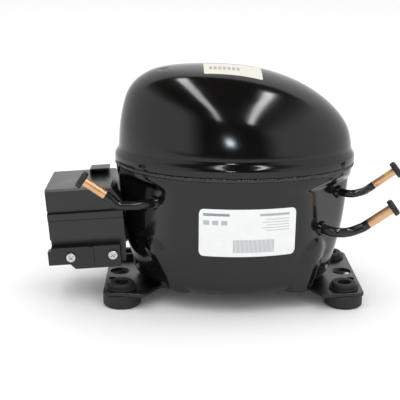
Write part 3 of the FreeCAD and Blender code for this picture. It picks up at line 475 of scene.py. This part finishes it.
def beadSpot(u, v):
    turn, around = u * math.tau, v * math.tau
    middle = (shellSpec["skirtLow"] + shellSpec["beadLow"]) / 2
    place = onOval(wallOval(middle, 0), turn)
    front = 1 if place.y < 0 else 0
    wild = 1 + beadSpec["roughest"] * math.exp(-((place.x - beadSpec["roughX"]) / beadSpec["roughSpan"]) ** 2) * front
    rough = (noise.noise(place * beadSpec["coarseScale"]) * beadSpec["coarse"]
             + noise.noise(place * beadSpec["fineScale"]) * beadSpec["fine"] * wild)
    drift = beadSpec["drift"] * noise.noise(place * beadSpec["driftScale"])
    ripple = beadSpec["wave"] * math.sin(turn * beadSpec["waves"] + drift)
    out = beadSpec["sunk"] + (beadSpec["reach"] + rough + ripple) * math.sin(around)
    return onOval(wallOval(middle + beadSpec["half"] * math.cos(around),
                           min(out, shellSpec["lip"] - beadSpec["clear"])), turn)


finishPiece("weld_bead_finished", wrapped(cuts["weldAround"], cuts["weldRings"], beadSpot), "shell", weldPaint,
            ["weld_bead"], crease=80)
print("shell done")

# ---- visible hard parts ----
for name, finish, width in (("base_plate_left", platePaint, 0.0), ("base_plate_right", platePaint, 0.0),
                            ("suction_stub", tubePaint, 0.0), ("discharge_stub", tubePaint, 0.0),
                            ("process_stub", tubePaint, 0.0), ("suction_copper", copper, 0.0),
                            ("discharge_copper", copper, 0.0), ("process_copper", copper, 0.0),
                            ("suction_collar", blackPaint, 0.3), ("discharge_collar", blackPaint, 0.3),
                            ("process_collar", blackPaint, 0.3), ("terminal_body", blackPaint, 0.0),
                            ("grommet_1", grommetRubber, 0.0), ("grommet_2", grommetRubber, 0.0),
                            ("grommet_3", grommetRubber, 0.0), ("grommet_4", grommetRubber, 0.0)):
    eased(name, "shell", finish, width)
# the cover's latch stands further forward and nearer the shell in the photograph than on the solid
tabSpec = {"left": -111.7, "width": 15.0, "front": 9.0, "depth": 13.0, "high": 4.6, "wall": 1.4, "sunk": 0.6,
           "overrun": 1, "skin": 0.02}
# the space round the solid's own latch, and the cover's rear wall that it hangs over
oldTab = {"left": -118.0, "right": -98.5, "front": 16.0, "wall": 26.02, "back": 35.0, "low": -4.0, "high": 9.0}
# the cover's top face leans towards the shell
coverTop = {"left": -142.1, "height": 88.0, "slope": 0.0708}


def topHeight(x):
    return coverTop["height"] + (x - coverTop["left"]) * coverTop["slope"]


def bar(shape, left, right, front, back, low, high):
    # a block with its low and high sides along the top face, in millimetres above it
    made = bmesh.ops.create_cube(shape, size=1)
    for vertex in made["verts"]:
        x = left if vertex.co.x < 0 else right
        vertex.co = Vector((x, front if vertex.co.y < 0 else back,
                            topHeight(x) + (low if vertex.co.z < 0 else high))) * mm


cover = eased("terminal_box", "box", boxPlastic, 0.0)
gone = bmesh.new()
bar(gone, oldTab["left"], oldTab["right"], oldTab["front"], oldTab["back"], 0.0, oldTab["high"])
bar(gone, oldTab["left"], oldTab["right"], oldTab["wall"], oldTab["back"], oldTab["low"], oldTab["high"])
carve(cover, gone)
tabShape = bmesh.new()
bar(tabShape, tabSpec["left"], tabSpec["left"] + tabSpec["width"], tabSpec["front"],
    tabSpec["front"] + tabSpec["depth"], -tabSpec["sunk"], tabSpec["high"])
tab = finishPiece("cover_latch", tabShape, "box", boxPlastic)
opening = bmesh.new()
bar(opening, tabSpec["left"] + tabSpec["wall"], tabSpec["left"] + tabSpec["width"] - tabSpec["wall"],
    tabSpec["front"] - tabSpec["overrun"], tabSpec["front"] + tabSpec["depth"] - tabSpec["wall"],
    tabSpec["skin"], tabSpec["high"] - tabSpec["wall"])
carve(tab, opening)
coverEdge = {"width": 0.5, "segments": 3, "angle": 25}
for piece in (cover, tab):
    rounding = piece.modifiers.new("Edges", "BEVEL")
    rounding.width, rounding.segments = coverEdge["width"] * mm, coverEdge["segments"]
    rounding.limit_method, rounding.angle_limit = "ANGLE", math.radians(coverEdge["angle"])
    rounding.harden_normals = True
eased("cable_clamp", "box", clampPlastic, 0.5, segments=3, crease=25)
screws = eased("clamp_screws", "box", zinc, 0.35)
# the cross recesses in the two screw heads, turned as a driver left them
crossSpec = {"span": 4.4, "width": 1.0, "depth": 1.5, "turn": 35, "facing": 0.7, "behindFront": 9}
screwShape = merged("clamp_screws")
bmesh.ops.dissolve_limit(screwShape, angle_limit=math.radians(1), verts=screwShape.verts,
                         edges=screwShape.edges, use_dissolve_boundaries=False)
frontY = min(face.calc_center_median().y for face in screwShape.faces)
heads = sorted((face for face in screwShape.faces
                if face.normal.y < -crossSpec["facing"]
                and face.calc_center_median().y < frontY + crossSpec["behindFront"] * mm),
               key=lambda face: -face.calc_area())[:2]
crosses = bmesh.new()
for face in heads:
    turn = (Matrix.Translation(face.calc_center_median())
            @ face.normal.to_track_quat("Z", "X").to_matrix().to_4x4()
            @ Matrix.Rotation(math.radians(crossSpec["turn"]), 4, "Z"))
    for across, along in (("span", "width"), ("width", "span")):
        stroke = bmesh.ops.create_cube(crosses, size=1)
        scale = Matrix.Diagonal((crossSpec[across] * mm, crossSpec[along] * mm, 2 * crossSpec["depth"] * mm, 1))
        bmesh.ops.transform(crosses, verts=stroke["verts"], matrix=turn @ scale)
screwShape.free()
carve(screws, crosses)
for name in ("suction", "discharge", "process"):
    eased(name + "_cap", name + "_plug", capRubber, 0.25, crease=50)
print("visible parts done")

springs = eased("suspension_springs", None, springSteel, crease=60)
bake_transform(springs)

# ---- inner parts keep their CAD shape ----
innerFinishes = {
    sealGlass: ["terminal_glass"], bareSteel: ["terminal_pins", "crankshaft", "thrust_washer", "valve_plate"],
    relayPlastic: ["start_relay", "overload_protector"], lamination: ["stator_core", "rotor_core"],
    winding: ["winding_bottom", "winding_top"],
    aluminium: ["rotor_ring_bottom", "rotor_ring_top", "cylinder_head", "connecting_rod", "piston"],
    zinc: ["stator_bolts", "head_bolts"], castIron: ["cylinder_block"], gasket: ["head_gasket"],
    springSteel: ["wrist_pin", "suction_reed", "discharge_reed", "oil_pickup"],
    mufflerPlastic: ["suction_muffler", "spring_caps"], tubePaint: ["spring_seats"], copper: ["discharge_loop"],
}
for finish, names in innerFinishes.items():
    for name in names:
        for place in nodes[name].material_slots:
            place.material = finish
print("inner parts done")

# ---- label ----
labelSpec = {"left": -27.0, "right": 43.9, "low": 46.5, "high": 83.0, "corner": 3.5, "lift": 0.12,
             "across": 96, "along": 24}


def paper(name, ground, blocks, roughness=0.35):
    # blocks are printed areas in millimetres from the sheet's lower left corner: left, low, right, high, colour
    made = bpy.data.materials.new(name)
    made.use_nodes = True
    tree = made.node_tree
    shader = tree.nodes["Principled BSDF"]
    sheet = addNode(tree, "ShaderNodeUVMap", uv_map="sheet").outputs["UV"]
    split = addNode(tree, "ShaderNodeSeparateXYZ", {"Vector": sheet})
    cloud = addNode(tree, "ShaderNodeTexNoise", {"Vector": sheet, "Scale": 0.15, "Detail": 3.0}).outputs["Fac"]
    colour = shaded(tree, cloud, ground, 0.02)
    for left, low, right, high, ink in blocks:
        inside = None
        for axis, start, stop in (("X", left, right), ("Y", low, high)):
            middle = addNode(tree, "ShaderNodeMath", operation="SUBTRACT")
            tree.links.new(split.outputs[axis], middle.inputs[0])
            middle.inputs[1].default_value = (start + stop) / 2
            size = addNode(tree, "ShaderNodeMath", operation="ABSOLUTE")
            tree.links.new(middle.outputs[0], size.inputs[0])
            near = addNode(tree, "ShaderNodeMath", operation="LESS_THAN")
            tree.links.new(size.outputs[0], near.inputs[0])
            near.inputs[1].default_value = (stop - start) / 2
            if inside:
                both = addNode(tree, "ShaderNodeMath", operation="MULTIPLY")
                tree.links.new(inside, both.inputs[0])
                tree.links.new(near.outputs[0], both.inputs[1])
                inside = both.outputs[0]
            else:
                inside = near.outputs[0]
        mix = addNode(tree, "ShaderNodeMixRGB", {"Fac": inside, "Color1": colour, "Color2": linear(ink)})
        colour = mix.outputs["Color"]
    tree.links.new(colour, shader.inputs["Base Color"])
    shader.inputs["Roughness"].default_value = roughness
    return made


def roundedSheet(width, height, corner, across, along, spot):
    # a flat sheet with round corners, laid over spot(x, y); its map holds millimetres
    shape = bmesh.new()
    grid = bmesh.ops.create_grid(shape, x_segments=across, y_segments=along, size=0.5)
    layer = shape.loops.layers.uv.new("sheet")
    places = {}
    for vertex in grid["verts"]:
        x, y = (vertex.co.x + 0.5) * width, (vertex.co.y + 0.5) * height
        overX = corner - min(x, width - x)
        if overX > 0:
            shrink = corner - math.sqrt(max(0, corner ** 2 - overX ** 2))
            y = shrink + y * (height - 2 * shrink) / height
        places[vertex] = (x, y)
    for face in shape.faces:
        for loop in face.loops:
            loop[layer].uv = places[loop.vert]
    for vertex, (x, y) in places.items():
        vertex.co = spot(x, y) * mm
    return shape


labelWidth = labelSpec["right"] - labelSpec["left"]
labelHeight = labelSpec["high"] - labelSpec["low"]
# printed areas of the label: top and bottom are measured down from its upper edge, low and high up from its lower
heading = {"left": 3, "right": 22, "top": 3.2, "bottom": 5.2, "ink": "#8d9294"}
subheading = {"left": 44, "right": 66, "top": 3.4, "bottom": 5.2, "ink": "#a9adaf"}
lines = {"left": 46, "indented": 49, "right": 66, "top": 7.5, "bottom": 8.2, "pitch": 2.1, "count": 5,
         "ink": "#c3c6c8"}
blocks = {"left": 3, "right": 7.5, "top": 8.6, "bottom": 12, "pitch": 6.5, "count": 3, "ink": "#b4b8ba"}
stripes = {"left": 25, "right": 25.5, "low": 3.2, "high": 13.2, "pitch": 0.95, "count": 32, "ink": "#9a9ea0"}
greyRules = [(area["left"], labelHeight - area["bottom"], area["right"], labelHeight - area["top"], area["ink"])
             for area in (heading, subheading)]
greyRules += [(lines["left"] if row % 2 else lines["indented"],
               labelHeight - lines["bottom"] - lines["pitch"] * row, lines["right"],
               labelHeight - lines["top"] - lines["pitch"] * row, lines["ink"])
              for row in range(lines["count"])]
greyRules += [(blocks["left"] + blocks["pitch"] * column, labelHeight - blocks["bottom"],
               blocks["right"] + blocks["pitch"] * column, labelHeight - blocks["top"], blocks["ink"])
              for column in range(blocks["count"])]
greyRules += [(stripes["left"] + stripes["pitch"] * stripe, stripes["low"],
               stripes["right"] + stripes["pitch"] * stripe, stripes["high"], stripes["ink"])
              for stripe in range(stripes["count"])]
labelPaper = paper("printed_paper_label", "#eef0f0", greyRules)
finishPiece(
    "rating_label",
    roundedSheet(labelWidth, labelHeight, labelSpec["corner"], labelSpec["across"], labelSpec["along"],
                 lambda x, y: frontWall(labelSpec["left"] + x, labelSpec["low"] + y, labelSpec["lift"])),
    "shell", labelPaper)


halvings = 26


def onDome(x, y, lift):
    # the height of the dome over a point, by halving
    low, high = 0.0, 1.0
    for _ in range(halvings):
        share = (low + high) / 2
        _, left, right, depth = domeOval(share)
        middle, half = (right - left) / 2, (right + left) / 2
        within = half > 0 and depth > 0 and ((x - middle) / half) ** 2 + (y / depth) ** 2 < 1
        low, high = (share, high) if within else (low, share)
    return Vector((x, y, shellSpec["seam"] + shellSpec["domeHeight"] * low + lift))


stripSpec = {"left": -23.5, "front": -26.5, "width": 43, "depth": 29, "corner": 1.0, "lift": 0.1, "across": 44,
             "along": 30}
# the strip's plain bars
marks = {"left": 4, "right": 6.2, "low": 9, "high": 17, "pitch": 3.4, "count": 7, "ink": "#a39f96"}
topPaper = paper("cream_paper_strip", "#dedbcf",
                 [(marks["left"] + marks["pitch"] * mark, marks["low"],
                   marks["right"] + marks["pitch"] * mark, marks["high"], marks["ink"])
                  for mark in range(marks["count"])])
finishPiece(
    "top_strip_label",
    roundedSheet(stripSpec["width"], stripSpec["depth"], stripSpec["corner"], stripSpec["across"],
                 stripSpec["along"],
                 lambda x, y: onDome(stripSpec["left"] + x, stripSpec["front"] + y, stripSpec["lift"])),
    "shell", topPaper)
print("label done")

# ---- floor, lights, camera ----
def stagePlane(name, size, place, turn, finish):
    shape = bmesh.new()
    bmesh.ops.create_grid(shape, x_segments=1, y_segments=1, size=0.5)
    bmesh.ops.scale(shape, vec=(size[0], size[1], 1), verts=shape.verts)
    bmesh.ops.transform(shape, matrix=Matrix.Translation(place) @ turn.to_matrix().to_4x4(), verts=shape.verts)
    mesh = bpy.data.meshes.new(name)
    shape.to_mesh(mesh)
    shape.free()
    mesh.materials.append(finish)
    plane = bpy.data.objects.new(name, mesh)
    bpy.context.scene.collection.objects.link(plane)
    return plane


def facing(place, target):
    return (Vector(target) - Vector(place)).to_track_quat("-Z", "Y")


floorPaper = material("white_studio_floor", "#fafafa", 0.9, patch=200, swing=0.0)
stagePlane("floor", (8, 8), Vector((0, 0, 0)), facing((0, 0, 1), (0, 0, 0)), floorPaper)

# the dark room in front of the table, which only reflections show; it fades out to both sides
roomSpec = {"height": 2.0, "back": 1.1, "front": -3.6, "side": 2.7, "clearSide": 1.15, "table": -1.35,
            "overFloor": 0.004}
roomWall = material("dark_room_wall", "#0c0c0d", 0.9, patch=300, swing=0.1)
tree = roomWall.node_tree
place = addNode(tree, "ShaderNodeSeparateXYZ",
                {"Vector": addNode(tree, "ShaderNodeTexCoord").outputs["Object"]})
sideways = addNode(tree, "ShaderNodeMath", operation="ABSOLUTE")
tree.links.new(place.outputs["X"], sideways.inputs[0])
fade = addNode(tree, "ShaderNodeMapRange", {"Value": sideways.outputs[0], "From Min": roomSpec["clearSide"],
                                            "From Max": roomSpec["side"]}, interpolation_type="SMOOTHSTEP")
gone = addNode(tree, "ShaderNodeBsdfTransparent")
blend = addNode(tree, "ShaderNodeMixShader", {"Fac": fade.outputs["Result"]})
tree.links.new(tree.nodes["Principled BSDF"].outputs["BSDF"], blend.inputs[1])
tree.links.new(gone.outputs["BSDF"], blend.inputs[2])
tree.links.new(blend.outputs["Shader"], tree.nodes["Material Output"].inputs["Surface"])
roomDepth = roomSpec["back"] - roomSpec["front"]
tableDepth = roomSpec["table"] - roomSpec["front"]
room = [
    stagePlane("room_ceiling", (2 * roomSpec["side"], roomDepth),
               Vector((0, roomSpec["front"] + roomDepth / 2, roomSpec["height"])),
               facing((0, 0, 1), (0, 0, 0)), roomWall),
    stagePlane("room_front", (2 * roomSpec["side"], roomSpec["height"]),
               Vector((0, roomSpec["front"], roomSpec["height"] / 2)),
               facing((0, -1, 0), (0, 0, 0)), roomWall),
    stagePlane("room_before_table", (2 * roomSpec["side"], tableDepth),
               Vector((0, roomSpec["front"] + tableDepth / 2, roomSpec["overFloor"])),
               facing((0, 0, 1), (0, 0, 0)), roomWall),
]
for wall in room:
    wall.visible_camera = wall.visible_diffuse = wall.visible_shadow = wall.visible_transmission = False

world = bpy.data.worlds.new("studio")
bpy.context.scene.world = world
world.use_nodes = True
tree = world.node_tree
background = tree.nodes["Background"]
rays = addNode(tree, "ShaderNodeLightPath")
clear = rays.outputs["Is Camera Ray"]
for kind in ("Is Glossy Ray", "Is Transmission Ray"):
    either = addNode(tree, "ShaderNodeMath", operation="MAXIMUM")
    tree.links.new(clear, either.inputs[0])
    tree.links.new(rays.outputs[kind], either.inputs[1])
    clear = either.outputs[0]
# a world of 1 is white to look at, and as strong as light on matte surfaces
litWorld, seenWorld = 1.0, 1.0
strength = addNode(tree, "ShaderNodeMapRange", {"Value": clear, "To Min": litWorld, "To Max": seenWorld})
tree.links.new(strength.outputs["Result"], background.inputs["Strength"])
background.inputs["Color"].default_value = (1, 1, 1, 1)


def lamp(name, place, target, size, power, colour=(1, 1, 1), glossy=True, diffuse=True):
    data = bpy.data.lights.new(name, "AREA")
    data.color = colour
    data.shape = "RECTANGLE"
    data.size, data.size_y = size
    data.energy = power
    light = bpy.data.objects.new(name, data)
    light.location = place
    light.rotation_euler = facing(place, target).to_euler()
    light.visible_glossy = glossy
    light.visible_diffuse = diffuse
    bpy.context.scene.collection.objects.link(light)
    return light


lamp("ceiling_strip_left", place=(-0.44, -1.25, 1.95), target=(-0.44, -1.25, 0), size=(0.2, 4.2), power=26,
     diffuse=False)
lamp("ceiling_strip_right", place=(0.9, -1.25, 1.95), target=(0.9, -1.25, 0), size=(0.2, 3.4), power=34,
     diffuse=False)
lamp("window", place=(-0.075, -2.0, 0.52), target=(0, 0, 0.1), size=(0.16, 0.11), power=2.6,
     colour=(0.8, 0.9, 1.0), diffuse=False)
lamp("fill", place=(0, -0.2, 1.8), target=(0, -0.1, 0), size=(2.2, 2.2), power=11, glossy=False)

# the camera that the photograph was taken with, worked out from the mounting pattern
cameraSpec = {"place": (-0.038937, -0.695159, 0.276088), "pitch": 16.338, "yaw": 1.134, "roll": -0.470,
              "lens": 83.14, "sensor": 36}
yaw, pitch, roll = (math.radians(cameraSpec[key]) for key in ("yaw", "pitch", "roll"))
forward = Vector((math.sin(yaw) * math.cos(pitch), math.cos(yaw) * math.cos(pitch), -math.sin(pitch)))
right = Vector((math.cos(yaw), -math.sin(yaw), 0))
down = forward.cross(right)
turnedRight = right * math.cos(roll) + down * math.sin(roll)
turnedDown = down * math.cos(roll) - right * math.sin(roll)
cameraData = bpy.data.cameras.new("camera")
cameraData.lens = cameraSpec["lens"]
cameraData.sensor_width = cameraSpec["sensor"]
camera = bpy.data.objects.new("camera", cameraData)
bpy.context.scene.collection.objects.link(camera)
camera.matrix_world = Matrix.Translation(cameraSpec["place"]) @ Matrix(
    (turnedRight, -turnedDown, -forward)).transposed().to_4x4()
bpy.context.scene.camera = camera
bpy.context.scene.view_settings.view_transform = "Standard"
print("stage done")
